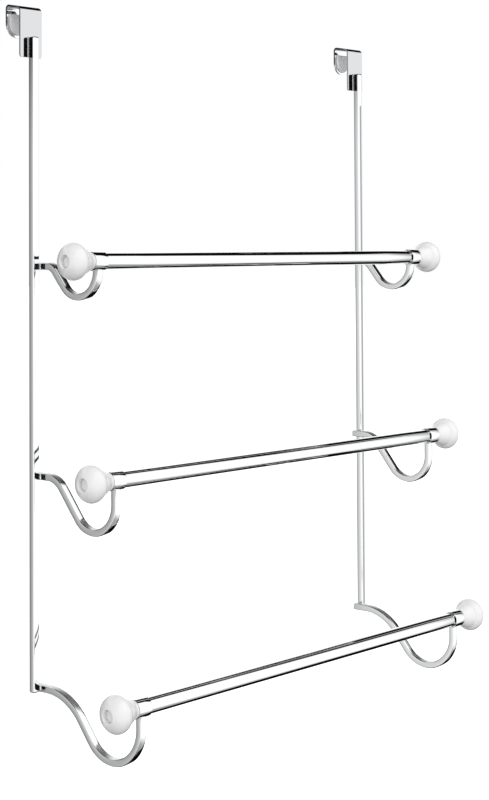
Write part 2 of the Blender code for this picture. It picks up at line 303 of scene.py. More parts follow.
def white_glaze():
    """The knobs' glossy white, with the soft unevenness of a poured glaze."""
    look = bpy.context.scene.rack_finish
    material, tree = new_material("white_glaze")
    warmth = (0.985, 0.98, 0.965)
    uneven_gloss = 0.05
    cloud = tree.noise(tree.object_point(), scale=55, detail=2)
    warm = opaque(c * share for c, share in zip(look.glaze_colour, warmth))
    flow = tree.noise(tree.object_point(), scale=160, detail=2)
    gloss = tree.noise(tree.object_point(), scale=240, detail=3)
    tree.principled(
        {
            "Base Color": tree.mix(cloud, opaque(look.glaze_colour), warm),
            "Roughness": look.glaze_roughness + uneven_gloss * gloss,
            "Normal": tree.bump(flow, distance=0.00003, strength=0.4),
            "Coat Weight": 0.2,
            "Coat Roughness": 0.04,
            "IOR": 1.5,
        }
    )
    return material


def pad_foam():
    """Closed-cell foam: pale grey, matte, finely pitted."""
    look = bpy.context.scene.rack_finish
    material, tree = new_material("pad_foam")
    inputs = {"Vector": tree.object_point(), "Scale": 1800}
    cells = tree.node("ShaderNodeTexVoronoi", None, inputs)
    walls = tree.step(cells, start=0.1, end=0.7)
    colour = tree.mix(walls, opaque(look.foam_colour, share=0.86), opaque(look.foam_colour))
    pits = tree.bump(cells, distance=0.0001, strength=0.6)
    tree.principled({"Base Color": colour, "Roughness": 0.85, "Normal": pits})
    return material


FINISHES = {
    "chrome": chrome_plate,
    "bent_rod_chrome": bent_rod_chrome,
    "strip_chrome": strip_chrome,
    "zinc_plated_steel": zinc_plate,
    "white_glaze": white_glaze,
    "pad_foam": pad_foam,
}
made_finishes = {}


def finish_of(slot):
    if slot not in made_finishes:
        made_finishes[slot] = FINISHES[slot]()
    return made_finishes[slot]


# ---- meshes --------------------------------------------------------------------------------
def new_piece(name, points, faces, slot, body, nodes, sharp=None, crowned=False, finish=None):
    """A finished piece that rides on a body and stands for the named solids.

    Crowned pieces shade as drawn rod does, with its flats slightly swollen.
    """
    mesh = bpy.data.meshes.new(name)
    mesh.from_pydata(points, [], faces)
    mesh.update()
    mesh.shade_smooth()
    if sharp is not None:
        mesh.set_sharp_from_angle(angle=sharp)
    mesh.materials.append(finish_of(finish or slot))
    obj = bpy.data.objects.new(name, mesh)
    bpy.context.scene.collection.objects.link(obj)
    if sharp is None and not crowned:
        weighted = obj.modifiers.new("flat faces stay flat", "WEIGHTED_NORMAL")
        weighted.weight = 100
    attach(obj, body)
    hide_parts(*nodes)
    return obj


def arc(centre, radius, start, end, step=FINE_ARC):
    """Points on an arc from angle start to angle end, both ends included."""
    count = max(2, math.ceil(abs(end - start) / step))
    angles = [start + (end - start) * i / count for i in range(count + 1)]
    return [(centre[0] + radius * math.cos(a), centre[1] + radius * math.sin(a)) for a in angles]


class BentLine:
    """A plane line of straight and round stretches, met by its length from the start."""

    def __init__(self, points):
        self.points = [Vector(p) for p in points]
        self.lengths = [0.0]
        for a, b in zip(self.points, self.points[1:]):
            self.lengths.append(self.lengths[-1] + (b - a).length)
        self.length = self.lengths[-1]

    def corner_direction(self, i):
        before = self.points[max(i - 1, 0)]
        after = self.points[min(i + 1, len(self.points) - 1)]
        return (after - before).normalized()

    def at(self, distance):
        """The point and the direction at a length from the start."""
        distance = min(max(distance, 0.0), self.length)
        i = 0
        while i < len(self.lengths) - 2 and self.lengths[i + 1] < distance:
            i += 1
        stretch = self.lengths[i + 1] - self.lengths[i]
        t = (distance - self.lengths[i]) / stretch
        point = self.points[i].lerp(self.points[i + 1], t)
        if t < ALMOST_NOTHING:
            return point, self.corner_direction(i)
        if t > 1 - ALMOST_NOTHING:
            return point, self.corner_direction(i + 1)
        return point, (self.points[i + 1] - self.points[i]).normalized()


def flat_outline(line, half_width, start_radius, end_radius, inset):
    """(distance along, half width there) of a bar's plan, from its start to its end."""
    near = arc((start_radius, half_width - start_radius), start_radius - inset,
               math.pi, math.pi / 2, PLAN_ARC)
    far = arc((line.length - end_radius, half_width - end_radius), end_radius - inset,
              math.pi / 2, 0, PLAN_ARC)
    first = near[-1][0]
    last = far[0][0]
    straight = [s for s in line.lengths if first + TOO_CLOSE < s < last - TOO_CLOSE]
    return near + [(s, half_width - inset) for s in straight] + far


def bent_bar(line, x, half_width, half_thickness, start_radius, end_radius, edge):
    """Points and faces of a bar with rounded edges that follows the line at the given x."""
    layers = []
    for end in (-1, 1):
        for i in range(FINE_EDGE_STEPS + 1):
            angle = math.pi / 2 * i / FINE_EDGE_STEPS
            if end < 0:
                angle -= math.pi / 2
            inset = edge * (1 - math.cos(angle))
            height = end * (half_thickness - edge) + edge * math.sin(angle)
            layers.append((inset, height))
    points = []
    for inset, height in layers:
        plan = flat_outline(line, half_width, start_radius, end_radius, inset)
        for sign in (1, -1):
            for along, across in plan if sign > 0 else plan[::-1]:
                place, direction = line.at(along)
                extra = along - min(max(along, 0.0), line.length)
                place = place + direction * extra
                out = Vector((-direction.y, direction.x)) * height
                points.append((x + sign * across, place.x + out.x, place.y + out.y))
    ring = len(points) // len(layers)
    half = ring // 2
    faces = []
    for k in range(len(layers) - 1):
        for i in range(ring):
            j = (i + 1) % ring
            low, high = k * ring, (k + 1) * ring
            faces.append((low + i, low + j, high + j, high + i))
    top = (len(layers) - 1) * ring
    for i in range(half - 1):
        mirror = ring - 1 - i
        faces.append((i, mirror, mirror - 1, i + 1))
        faces.append((top + i, top + i + 1, top + mirror - 1, top + mirror))
    return points, outward(points, faces)


def outward(points, faces):
    """Turns every face round if the closed shape is inside out."""
    volume = 0.0
    for face in faces:
        a, b, c = (Vector(points[i]) for i in face[:3])
        volume += a.dot(b.cross(c))
        if len(face) == 4:
            volume += a.dot(c.cross(Vector(points[face[3]])))
    return faces if volume > 0 else [face[::-1] for face in faces]


def turned(profile, start_x, side, y, z, steps):
    """Points and faces of a shape turned about a line along X.

    The profile holds (distance outward from start_x, radius). It is closed back to its first
    point, unless it starts and ends on the axis.
    """
    points = []
    rings = []
    for along, radius in profile:
        x = side * (start_x + along)
        if radius < ALMOST_NOTHING:
            rings.append([len(points)])
            points.append((x, y, z))
            continue
        ring = []
        for i in range(steps):
            angle = 2 * math.pi * i / steps
            ring.append(len(points))
            points.append((x, y + radius * math.cos(angle), z + radius * math.sin(angle)))
        rings.append(ring)
    pairs = list(zip(rings, rings[1:]))
    if len(rings[0]) > 1:
        pairs.append((rings[-1], rings[0]))
    faces = []
    for a, b in pairs:
        for i in range(steps):
            j = (i + 1) % steps
            if len(a) == 1:
                faces.append((a[0], b[j], b[i]))
            elif len(b) == 1:
                faces.append((a[i], a[j], b[0]))
            else:
                faces.append((a[i], a[j], b[j], b[i]))
    return points, outward(points, faces)


# ---- the pieces ----------------------------------------------------------------------------
def build_uprights():
    """Each is drawn lying down, so that its ends are rounded as seen from the side."""
    shape = bpy.context.scene.rack_shape
    for side_name, _ in SIDES:
        node = f"upright_{side_name}"
        bottom, top = span(node, 2)
        points, faces = bent_bar(
            BentLine([(0, 0), (top - bottom, 0)]), 0, size(node, 1) / 2, size(node, 0) / 2,
            shape.upright_corner, shape.upright_corner, shape.rod_edge,
        )
        x = middle(node, 0)
        y = middle(node, 1)
        placed = [(x + height, y + across, top - along) for across, along, height in points]
        faces = outward(placed, faces)
        new_piece(f"fine_{node}", placed, faces, "chrome", RACK_BODY, [node], crowned=True)


def plate_height(y, above):
    """Height at y of the line that runs this far above the hooks' tilted underside."""
    return (y + DOOR_HALF) * math.tan(PLATE_TILT) + above / math.cos(PLATE_TILT)


def hook_line(node):
    """The middle of a hook's strip: up the tongue, over the door and down the leg."""
    shape = bpy.context.scene.rack_shape
    front, back = span(node, 1)
    bottom = span(node, 2)[0]
    pad_node = node.replace("hook", "tongue_pad")
    tongue_bottom = span(pad_node, 2)[0] - shape.pad_margin
    half = shape.strip_thickness / 2
    back_bend = HOOK_BACK_BEND - half
    front_bend = HOOK_FRONT_BEND - half
    back_y = back - half - back_bend
    front_y = front + half + front_bend
    crest = math.pi / 2 + PLATE_TILT
    back_centre = (back_y, plate_height(back_y, half - back_bend))
    front_centre = (front_y, plate_height(front_y, half - front_bend))
    over_back = arc(back_centre, back_bend, 0, crest)
    over_front = arc(front_centre, front_bend, crest, math.pi)
    return BentLine([(back - half, tongue_bottom), *over_back, *over_front, (front + half, bottom)])


def build_hooks():
    shape = bpy.context.scene.rack_shape
    for side_name, _ in SIDES:
        node = f"hook_{side_name}"
        half_width = size(node, 0) / 2
        points, faces = bent_bar(
            hook_line(node), middle(node, 0), half_width, shape.strip_thickness / 2,
            half_width, LEG_CORNER, shape.strip_edge,
        )
        new_piece(
            f"fine_{node}", points, faces, "chrome", RACK_BODY, [node], finish="strip_chrome"
        )


def build_pads():
    shape = bpy.context.scene.rack_shape
    for side_name, _ in SIDES:
        for kind in ("tongue", "leg"):
            node = f"{kind}_pad_{side_name}"
            half_width = size(node, 0) / 2
            bottom, top = span(node, 2)
            y = middle(node, 1)
            line = BentLine([(y, top), (y, bottom)])
            end = half_width if kind == "tongue" else LEG_CORNER
            points, faces = bent_bar(
                line, middle(node, 0), half_width, size(node, 1) / 2,
                shape.pad_edge, end, shape.pad_edge,
            )
            new_piece(f"fine_{node}", points, faces, "pad_foam", RACK_BODY, [node])


def arm_line(bar_name, side_name):
    """The middle of an arm in the (y, z) plane: level root, crest, slope, bowl, upstand."""
    crest_radius, bowl_radius, bowl_drop, root_drop = ARM_BENDS[bar_name]
    bar = f"towel_bar_{bar_name}"
    axis_y = middle(bar, 1)
    axis_z = middle(bar, 2)
    back = span(f"upright_{side_name}", 1)[1]
    depth = back - axis_y
    root_z = axis_z - root_drop
    crest = Vector((ARM_ROOT_STRAIGHT, root_z - crest_radius))
    bowl = Vector((depth - bowl_radius, axis_z - bowl_drop))
    between = bowl - crest
    slope = math.asin((crest_radius + bowl_radius) / between.length)
    slope -= math.atan2(between.y, between.x)
    collar_radius = size(f"collar_{bar_name}_{side_name}", 2) / 2
    tip = axis_z - collar_radius + ARM_TIP_BITE
    run = [(0, root_z)]
    run += arc(crest, crest_radius, math.pi / 2, math.pi / 2 - slope)
    run += arc(bowl, bowl_radius, 1.5 * math.pi - slope, 2 * math.pi)
    run += [(depth, tip)]
    return BentLine([(back - along, z) for along, z in run])


def build_arms():
    shape = bpy.context.scene.rack_shape
    for bar_name in ARM_BENDS:
        for side_name, _ in SIDES:
            node = f"arm_{bar_name}_{side_name}"
            points, faces = bent_bar(
                arm_line(bar_name, side_name), middle(node, 0), size(node, 0) / 2,
                shape.arm_thickness / 2, shape.rod_edge, shape.rod_edge, shape.rod_edge,
            )
            new_piece(
                f"fine_{node}", points, faces, "chrome", RACK_BODY, [node],
                crowned=True, finish="bent_rod_chrome",
            )


def build_bars():
    shape = bpy.context.scene.rack_shape
    for bar_name in ARM_BENDS:
        node = f"towel_bar_{bar_name}"
        low, high = span(node, 0)
        radius = size(node, 2) / 2
        inner = radius - shape.tube_wall
        length = high - low
        edge = shape.turned_edge
        profile = [(0, inner)]
        profile += arc((edge, radius - edge), edge, math.pi, math.pi / 2, TUBE_EDGE_ARC)
        profile += [
            (length * i / BAR_LENGTH_STEPS, radius) for i in range(1, BAR_LENGTH_STEPS)
        ]
        profile += arc((length - edge, radius - edge), edge, math.pi / 2, 0, TUBE_EDGE_ARC)
        profile += [(length, inner)]
        points, faces = turned(
            profile, low, 1, middle(node, 1), middle(node, 2), shape.turned_steps
        )
        new_piece(
            f"fine_{node}", points, faces, "chrome", RACK_BODY, [node], TURNED_SHARP
        )


def build_collars():
    shape = bpy.context.scene.rack_shape
    for bar_name in ARM_BENDS:
        for side_name, side in SIDES:
            node = f"collar_{bar_name}_{side_name}"
            low, high = span(node, 0)
            start = min(abs(low), abs(high))
            length = high - low
            radius = size(node, 2) / 2
            inner = size(f"towel_bar_{bar_name}", 2) / 2 + shape.collar_clearance
            lip = shape.collar_lip
            nose = shape.collar_nose
            profile = [(0, inner)]
            profile += arc((lip, radius - lip), lip, math.pi, math.pi / 2, SMALL_EDGE_ARC)
            profile += arc((length - nose, radius - nose), nose, math.pi / 2, 0, NOSE_ARC)
            profile += [(length, inner)]
            points, faces = turned(
                profile, start, side, middle(node, 1), middle(node, 2), shape.turned_steps
            )
            new_piece(
                f"fine_{node}", points, faces, "chrome", RACK_BODY, [node], TURNED_SHARP
            )


def knob_profile(shape):
    """(distance from the collar's end, radius), from the base over the bulb to the recess."""
    gap = shape.collar_clearance
    edge = KNOB_BASE_EDGE
    inner_base = (gap + edge, shape.base_radius - edge)
    outer_base = (shape.base_length - edge, shape.base_radius - edge)
    base = [(gap, shape.stud_bore)]
    base += arc(inner_base, edge, math.pi, math.pi / 2, SMALL_EDGE_ARC)
    base += arc(outer_base, edge, math.pi / 2, math.pi / 6, SMALL_EDGE_ARC)
    neck = []
    full = shape.neck_roundness * math.pi / 2
    neck_length = shape.groove_place - shape.base_length
    for i in range(1, NECK_STEPS + 1):
        t = i / NECK_STEPS
        swell = math.sin(full * t) / math.sin(full)
        radius = shape.base_radius + (shape.groove_radius - shape.base_radius) * swell
        neck.append((shape.base_length + neck_length * t, radius))
    step = shape.groove_step
    bulb_start = math.acos((shape.groove_radius + step) / shape.knob_radius)
    back_length = (shape.knob_widest - shape.groove_place - step / 2) / math.sin(bulb_start)
    bulb = []
    for i in range(BULB_STEPS):
        angle = bulb_start * (1 - i / BULB_STEPS)
        along = shape.knob_widest - back_length * math.sin(angle)
        bulb.append((along, shape.knob_radius * math.cos(angle)))
    rim = shape.recess_rim
    rim_angle = math.acos((shape.recess_radius + rim) / shape.knob_radius)
    dome = []
    for i in range(DOME_STEPS + 1):
        angle = rim_angle * i / DOME_STEPS
        along = shape.knob_widest + shape.knob_dome * math.sin(angle)
        dome.append((along, shape.knob_radius * math.cos(angle)))
    rim_centre = (dome[-1][0] - rim, shape.recess_radius + rim)
    lip = arc(rim_centre, rim, 0, -math.pi / 2, SMALL_EDGE_ARC)[1:]
    recess = [(shape.recess_floor, shape.recess_radius), (shape.recess_floor, shape.stud_bore)]
    return base + neck + bulb + dome + lip + recess


def build_knobs():
    shape = bpy.context.scene.rack_shape
    profile = knob_profile(shape)
    for bar_name in ARM_BENDS:
        for side_name, side in SIDES:
            place = f"{bar_name}_{side_name}"
            node = f"knob_{place}"
            start = max(abs(end) for end in span(f"collar_{place}", 0))
            points, faces = turned(
                profile, start, side, middle(node, 1), middle(node, 2), shape.turned_steps
            )
            new_piece(
                f"fine_{node}", points, faces, "white_glaze", f"knob_{place}", [node],
                TURNED_SHARP,
            )
            build_cap(f"knob_cap_{place}", side, f"cap_{place}")


def build_cap(node, side, body):
    """The white disc at the bottom of a knob's recess."""
    start = min(abs(end) for end in span(node, 0))
    thickness = size(node, 0)
    radius = size(node, 2) / 2
    edge_centre = (thickness - CAP_EDGE, radius - CAP_EDGE)
    profile = [(0, 0), (0, radius)]
    profile += arc(edge_centre, CAP_EDGE, math.pi / 2, 0, SMALL_EDGE_ARC)
    profile += [(thickness, 0)]
    steps = bpy.context.scene.rack_shape.turned_steps
    points, faces = turned(profile, start, side, middle(node, 1), middle(node, 2), steps)
    new_piece(f"fine_{node}", points, faces, "white_glaze", body, [node], TURNED_SHARP)


def build_screws():
    """The studs and inserts keep their solids and get zinc plate."""
    for bar_name in ARM_BENDS:
        for side_name, _ in SIDES:
            for kind in ("bar_insert", "knob_stud"):
                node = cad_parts[f"{kind}_{bar_name}_{side_name}"]
                node.data.materials.clear()
                node.data.materials.append(finish_of("zinc_plated_steel"))


# ---- the studio ----------------------------------------------------------------------------
WHITE = (1.0, 1.0, 1.0, 1)
BLACK = (0.0, 0.0, 0.0, 1)
NEARLY_BLACK = 0.995  # share of the room's light that the flags and the camera's corner take

# What polished metal sees, in degrees as (where an edge starts, where it ends). The flags are
# measured about the rack's long direction: 0 in front, 90 straight up or down, 180 behind.
FLAG_NEAR_EDGE = (70, 78)
FLAG_FAR_EDGE = (138, 126)
FLAG_SHIFT_TO_THE_RIGHT = 14  # how much further forward their near edge comes there
# The panels and the wall are measured on the level, from +X towards +Y.
BACK_PANEL = ((60, 72), (118, 106))
RIGHT_PANEL = ((-34, -22), (16, 6))
LEFT_WALL_EDGE = (96, 108)
LEFT_WALL_FADE = (110, 172)
CAMERA_CORNER = (38, 26)  # measured from the way to the camera
BACK_PANEL_DEPTH = 0.9
RIGHT_PANEL_DEPTH = 0.45
TOWARDS_CAMERA = (-0.754, -0.656, 0.0)
TOWARDS_FILL = (-0.66, -0.64, 0.39)

TOP_BOARD_HEIGHT = 0.2
TOP_BOARD_ACROSS = (-1.2, 1.2)
TOP_BOARD_DEEP = (-0.15, 0.42)
TOP_BOARD_TONE = 0.004
SIDE_BOARD_WAY = Vector((0.795, -0.606, 0.0))  # the camera's view, mirrored in the uprights' front
SIDE_BOARD_ALONG = Vector((0.606, 0.795, 0.0))
SIDE_BOARD_DISTANCE = 0.28
SIDE_BOARD_HALF_WIDTH = 0.024
SIDE_BOARD_HEIGHTS = (-0.76, -0.035)
SIDE_BOARD_TONE = 0.42

LIGHTS_AIM = Vector((0, -0.08, -0.35))
KEY_LIGHT_PLACE = (-1.0, -3.4, 1.9)
KEY_LIGHT_WIDTH = 1.6
SIDE_LIGHT_PLACE = (2.6, -1.6, 0.9)
SIDE_LIGHT_WIDTH = 1.4


def edge_at(tree, angle, degrees):
    """0 before the edge and 1 after it."""
    start, end = degrees
    return tree.step(angle, start=math.radians(start), end=math.radians(end))


def panel(tree, angle, edges, level):
    """1 on an upright panel between two edges, 0 beside, above and below it."""
    near, far = edges
    return edge_at(tree, angle, near) * edge_at(tree, angle, far) * level


def mirrored_times(tree, least, most):
    """1 where the view has been mirrored from least to most times over, else 0."""
    times = tree.light_path("Glossy Depth")
    enough = tree.step(times, start=least - 0.8, end=least - 0.2)
    return enough * tree.step(times, start=most + 0.8, end=most + 0.2)


def mirrored_room(tree, direction):
    """The grey that polished metal sees along a direction."""
    x = tree.part(direction, "X")
    y = tree.part(direction, "Y")
    z = tree.part(direction, "Z")
    turn = abs(z).math("ARCTAN2", -y)
    right_end = tree.step(x, start=0.70, end=0.78, high=math.radians(FLAG_SHIFT_TO_THE_RIGHT))
    flags = edge_at(tree, turn + right_end, FLAG_NEAR_EDGE) * edge_at(tree, turn, FLAG_FAR_EDGE)
    around = y.math("ARCTAN2", x)
    level = tree.step(abs(z), start=0.55, end=0.40)
    back_panel = panel(tree, around, BACK_PANEL, level)
    right_panel = panel(tree, around, RIGHT_PANEL, level)
    low_front = tree.step(z, start=-0.42, end=-0.68, low=1.0, high=0.35)
    grey = low_front * (1 - NEARLY_BLACK * flags)
    grey = grey * (1 - BACK_PANEL_DEPTH * back_panel) * (1 - RIGHT_PANEL_DEPTH * right_panel)
    start, end = LEFT_WALL_FADE
    wall_tone = tree.step(around, start=math.radians(start), end=math.radians(end), low=0.08)
    wall_tone = wall_tone * tree.step(z, start=0.14, end=0.05, low=0.45)
    wall = edge_at(tree, around, LEFT_WALL_EDGE) * level
    grey = grey * (1 - wall) + wall_tone * wall
    towards = tree.dot(direction, TOWARDS_CAMERA)
    far_out, close_in = (math.cos(math.radians(angle)) for angle in CAMERA_CORNER)
    corner = tree.step(towards, start=far_out, end=close_in) * mirrored_times(tree, 2, 2)
    return grey * (1 - NEARLY_BLACK * corner)


def studio_world():
    """A white room. Polished metal also sees the dark gear above, below and at the camera."""
    studio = bpy.context.scene.rack_studio
    world = bpy.data.worlds.new("studio")
    bpy.context.scene.world = world
    tree = Tree(world)
    way = tree.node("ShaderNodeTexCoord", output="Generated")
    direction = tree.node("ShaderNodeVectorMath", {"operation": "NORMALIZE"}, {0: way})
    seen = tree.mix(mirrored_room(tree, direction), BLACK, WHITE)
    room = background(tree, seen, studio.reflection_strength)
    fill = tree.step(tree.dot(direction, TOWARDS_FILL), start=-0.55, end=0.85, low=0.18)
    soft = background(tree, WHITE, studio.fill_strength * fill)
    plain = background(tree, WHITE, 1.0)
    lit = tree.mix_shaders(tree.light_path("Is Glossy Ray"), soft, room)
    shown = tree.mix_shaders(tree.light_path("Is Camera Ray"), lit, plain)
    tree.node("ShaderNodeOutputWorld", None, {"Surface": shown})


def background(tree, colour, strength):
    return tree.node("ShaderNodeBackground", None, {"Color": colour, "Strength": strength})


def flat_sheet(name, corners, material):
    """One four-cornered face that belongs to the studio."""
    mesh = bpy.data.meshes.new(name)
    mesh.from_pydata(corners, [], [(0, 1, 2, 3)])
    mesh.materials.append(material)
    sheet = bpy.data.objects.new(name, mesh)
    bpy.context.scene.collection.objects.link(sheet)
    sheet.visible_diffuse = False
    return sheet


def build_floor():
    studio = bpy.context.scene.rack_studio
    reach = studio.floor_reach
    z = studio.floor_height
    corners = [(-reach, -reach, z), (reach, -reach, z), (reach, reach, z), (-reach, reach, z)]
    material, tree = new_material("floor_paper")
    tree.principled(
        {
            "Base Color": opaque(studio.floor_colour),
            "Roughness": 0.9,
            "Emission Color": WHITE,
            "Emission Strength": 0.85,
        }
    )
    floor = flat_sheet("floor", corners, material)
    floor.visible_glossy = False


def add_board(name, corners, tone):
    """A board seen only by polished metal, and only in a first reflection."""
    material, tree = new_material(f"{name}_cloth")
    cloth = tree.node("ShaderNodeEmission", None, {"Color": (tone, tone, tone, 1)})
    nothing = tree.node("ShaderNodeBsdfTransparent")
    tree.surface(tree.mix_shaders(mirrored_times(tree, 0, 1), nothing, cloth))
    board = flat_sheet(name, corners, material)
    board.visible_camera = False
    board.visible_shadow = False


def add_top_board():
    """A black board over the hooks."""
    left, right = TOP_BOARD_ACROSS
    front, back = TOP_BOARD_DEEP
    plan = [(left, front), (right, front), (right, back), (left, back)]
    add_board("top_board", [(x, y, TOP_BOARD_HEIGHT) for x, y in plan], TOP_BOARD_TONE)


def add_side_board():
    """A narrow grey board beside the rack, where the right upright's front mirrors it."""
    upright = "upright_right"
    centre = Vector((middle(upright, 0), middle(upright, 1), 0))
    centre += SIDE_BOARD_DISTANCE * SIDE_BOARD_WAY
    near = centre - SIDE_BOARD_HALF_WIDTH * SIDE_BOARD_ALONG
    far = centre + SIDE_BOARD_HALF_WIDTH * SIDE_BOARD_ALONG
    low, high = SIDE_BOARD_HEIGHTS
    corners = [(*near.xy, low), (*far.xy, low), (*far.xy, high), (*near.xy, high)]
    add_board("side_board", corners, SIDE_BOARD_TONE)


def add_softbox(name, place, width, power):
    light = bpy.data.lights.new(name, "AREA")
    light.shape = "SQUARE"
    light.size = width
    light.energy = power
    obj = bpy.data.objects.new(name, light)
    obj.location = place
    obj.rotation_mode = "QUATERNION"
    obj.rotation_quaternion = (LIGHTS_AIM - Vector(place)).to_track_quat("-Z", "Y")
    obj.visible_glossy = False
    bpy.context.scene.collection.objects.link(obj)


def add_camera():
    studio = bpy.context.scene.rack_studio
    azimuth, pitch, roll = studio.camera_azimuth, studio.camera_pitch, studio.camera_roll
    level_ahead = Vector((-math.sin(azimuth), math.cos(azimuth), 0))
    ahead = level_ahead * math.cos(pitch) + Vector((0, 0, math.sin(pitch)))
    right = Vector((math.cos(azimuth), math.sin(azimuth), 0))
    up = right.cross(ahead)
    tilted_right = right * math.cos(roll) + up * math.sin(roll)
    tilted_up = tilted_right.cross(ahead)
    data = bpy.data.cameras.new("camera")
    data.sensor_width = studio.sensor
    data.lens = studio.lens
    data.shift_y = studio.camera_shift
    data.dof.use_dof = False
    data.clip_start = 0.01
    data.clip_end = 200
    camera = bpy.data.objects.new("camera", data)
    turn = Matrix((tilted_right, tilted_up, -ahead)).transposed().to_4x4()
    turn.translation = Vector(studio.camera_place)
    camera.matrix_world = turn
    bpy.context.scene.collection.objects.link(camera)
    bpy.context.scene.camera = camera


def build_stage():
    studio = bpy.context.scene.rack_studio
    bpy.context.scene.view_settings.view_transform = "Standard"
    studio_world()
    build_floor()
    add_top_board()
    add_side_board()
    add_softbox("key_light", KEY_LIGHT_PLACE, KEY_LIGHT_WIDTH, studio.key_power)
    add_softbox("side_light", SIDE_LIGHT_PLACE, SIDE_LIGHT_WIDTH, studio.side_power)
    add_camera()


# ---- settings ------------------------------------------------------------------------------
class RackShape(bpy.types.PropertyGroup):
    """Sizes of the finished pieces that the solids' boxes don't give."""

    rod_edge: FloatProperty(
        name="Rod edge", description="Radius of the long edges of uprights and arms",
        default=0.0011, min=0.0001, max=0.002, unit="LENGTH",
    )
    upright_corner: FloatProperty(
        name="Upright corner", description="Radius of the uprights' end corners seen from the side",
        default=0.0025, min=0.001, max=0.0035, unit="LENGTH",
    )
    arm_thickness: FloatProperty(
        name="Arm thickness", description="Thickness of the arms in the plane they are bent in",
        default=0.0074, min=0.004, max=0.012, unit="LENGTH",
    )
    strip_thickness: FloatProperty(
        name="Strip thickness", description="Thickness of the hooks' strip",
        default=0.00198, min=0.001, max=0.004, unit="LENGTH",
    )
    strip_edge: FloatProperty(
        name="Strip edge", description="Radius of the hooks' long edges",
        default=0.00035, min=0.0001, max=0.0009, unit="LENGTH",
    )
    pad_edge: FloatProperty(
        name="Pad edge", description="Radius of the pads' edges",
        default=0.0003, min=0.0001, max=0.0004, unit="LENGTH",
    )
    pad_margin: FloatProperty(
        name="Pad margin", description="Bare metal left round each pad",
        default=0.003, min=0.0, max=0.006, unit="LENGTH",
    )
    tube_wall: FloatProperty(
        name="Tube wall", description="Wall thickness of the towel bars",
        default=0.001, min=0.0005, max=0.003, unit="LENGTH",
    )
    turned_edge: FloatProperty(
        name="Tube edge", description="Radius of the tubes' end edges",
        default=0.0002, min=0.0001, max=0.0005, unit="LENGTH",
    )
    collar_clearance: FloatProperty(
        name="Clearance", description="Gap between a tube and its collar",
        default=0.0003, min=0.0, max=0.001, unit="LENGTH",
    )
    collar_lip: FloatProperty(
        name="Collar lip", description="Edge radius at the inner end of a collar",
        default=0.0003, min=0.0001, max=0.0008, unit="LENGTH",
    )
    collar_nose: FloatProperty(
        name="Collar nose", description="Edge radius at the knob end of a collar",
        default=0.001, min=0.0002, max=0.001, unit="LENGTH",
    )
    stud_bore: FloatProperty(
        name="Stud bore", description="Radius of the hole through a knob",
        default=0.0033, min=0.002, max=0.005, unit="LENGTH",
    )
    base_radius: FloatProperty(
        name="Knob base radius", description="Radius of the ring where a knob meets its collar",
        default=0.0092, min=0.006, max=0.012, unit="LENGTH",
    )
    base_length: FloatProperty(
        name="Knob base length", description="Length of the ring where a knob meets its collar",
        default=0.003, min=0.001, max=0.006, unit="LENGTH",
    )
    groove_place: FloatProperty(
        name="Groove place", description="Distance from the collar to the knob's groove",
        default=0.0152, min=0.008, max=0.02, unit="LENGTH",
    )
    groove_radius: FloatProperty(
        name="Groove radius", description="Radius at the knob's groove",
        default=0.0144, min=0.01, max=0.018, unit="LENGTH",
    )
    groove_step: FloatProperty(
        name="Groove step", description="How far the bulb stands out from the neck",
        default=0.0008, min=0.0, max=0.002, unit="LENGTH",
    )
    neck_roundness: FloatProperty(
        name="Neck roundness", description="0 makes the neck a cone, 1 a quarter sine",
        default=0.75, min=0.05, max=1.0,
    )
    knob_radius: FloatProperty(
        name="Knob radius", description="Largest radius of a knob",
        default=0.0185, min=0.01, max=0.03, unit="LENGTH",
    )
    knob_widest: FloatProperty(
        name="Knob widest", description="Distance from the collar to the knob's widest circle",
        default=0.023, min=0.01, max=0.04, unit="LENGTH",
    )
    knob_dome: FloatProperty(
        name="Knob dome", description="From the widest circle to the nose of the full dome",
        default=0.0125, min=0.005, max=0.02, unit="LENGTH",
    )
    recess_radius: FloatProperty(
        name="Recess radius", description="Radius of the recess in a knob's nose",
        default=0.0065, min=0.003, max=0.01, unit="LENGTH",
    )
    recess_rim: FloatProperty(
        name="Recess rim", description="Radius of the edge round the recess",
        default=0.0006, min=0.0001, max=0.0015, unit="LENGTH",
    )
    recess_floor: FloatProperty(
        name="Recess floor", description="Distance from the collar to the floor under the cap",
        default=0.0235, min=0.015, max=0.03, unit="LENGTH",
    )
    turned_steps: IntProperty(
        name="Turned steps", description="Sides of the turned pieces", default=96, min=24, max=256,
    )


